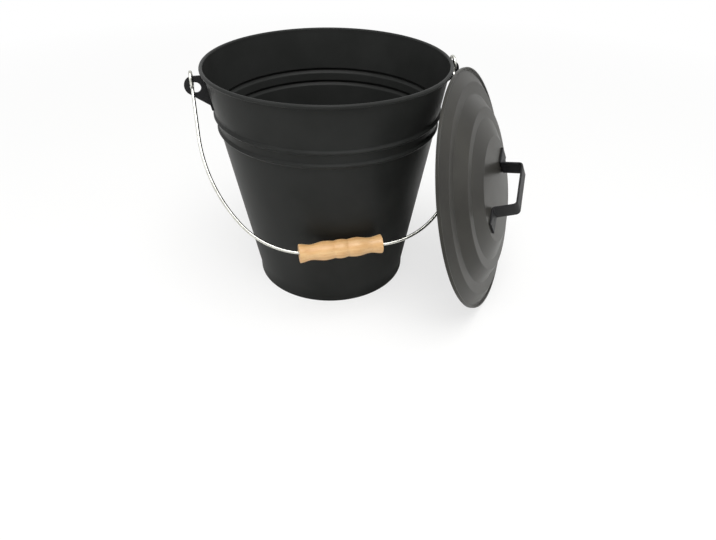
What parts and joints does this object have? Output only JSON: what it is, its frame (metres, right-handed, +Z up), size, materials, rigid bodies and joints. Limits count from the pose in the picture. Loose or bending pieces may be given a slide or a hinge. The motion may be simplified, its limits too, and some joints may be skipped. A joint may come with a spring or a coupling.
{
  "type": "ash bucket with lid",
  "caption": "Tapered sheet steel ash bucket with a wire bail, turned wooden grip and a loose stepped lid with a strap handle.",
  "frame": {"origin": "centre of the bucket's foot, on the floor", "axes": "+Z up along the bucket's axis, +X along the bail's pivot line towards the ear beside the leaning lid, -Y to the front where the bail hangs"},
  "size_m": [0.442, 0.376, 0.2943],
  "materials": {
    "powder_coat": "satin powder coat, charcoal",
    "lid_coat": "satin powder coat, charcoal, paler",
    "handle_coat": "fine textured black paint",
    "bare_steel": "drawn wire, inside the rolled rim",
    "bright_wire": "bright zinc plated wire",
    "beech": "turned beech, clear varnish"
  },
  "bodies": {
    "bucket": {"bucket_wall": "powder_coat", "rim_wire": "bare_steel", "bucket_bottom": "powder_coat", "ear_left": "powder_coat", "ear_right": "powder_coat"},
    "bail": {"bail_wire": "bright_wire"},
    "grip": {"grip": "beech"},
    "lid": {"lid_shell": "lid_coat", "lid_handle": "handle_coat"}
  },
  "joints": [
    {"name": "bail_pivot", "type": "hinge", "parent": "bucket", "child": "bail", "pos_m": [0, 0, 0.2803], "axis": [-1, 0, 0], "range_deg": [0, 284.97]},
    {"name": "grip_spin", "type": "hinge", "parent": "bail", "child": "grip", "pos_m": [-0.012, -0.13282, 0.1073], "axis": [1, 0, 0], "continuous": true},
    {"name": "lid_away", "type": "slide", "parent": "bucket", "child": "lid", "axis": [0.7818, -0.5576, 0.279], "range_m": [0, 0.351]}
  ],
  "couplings": [
    {"joint": "lid_away", "follows": "bail_pivot", "m_per_rad": 0.070371}
  ]
}
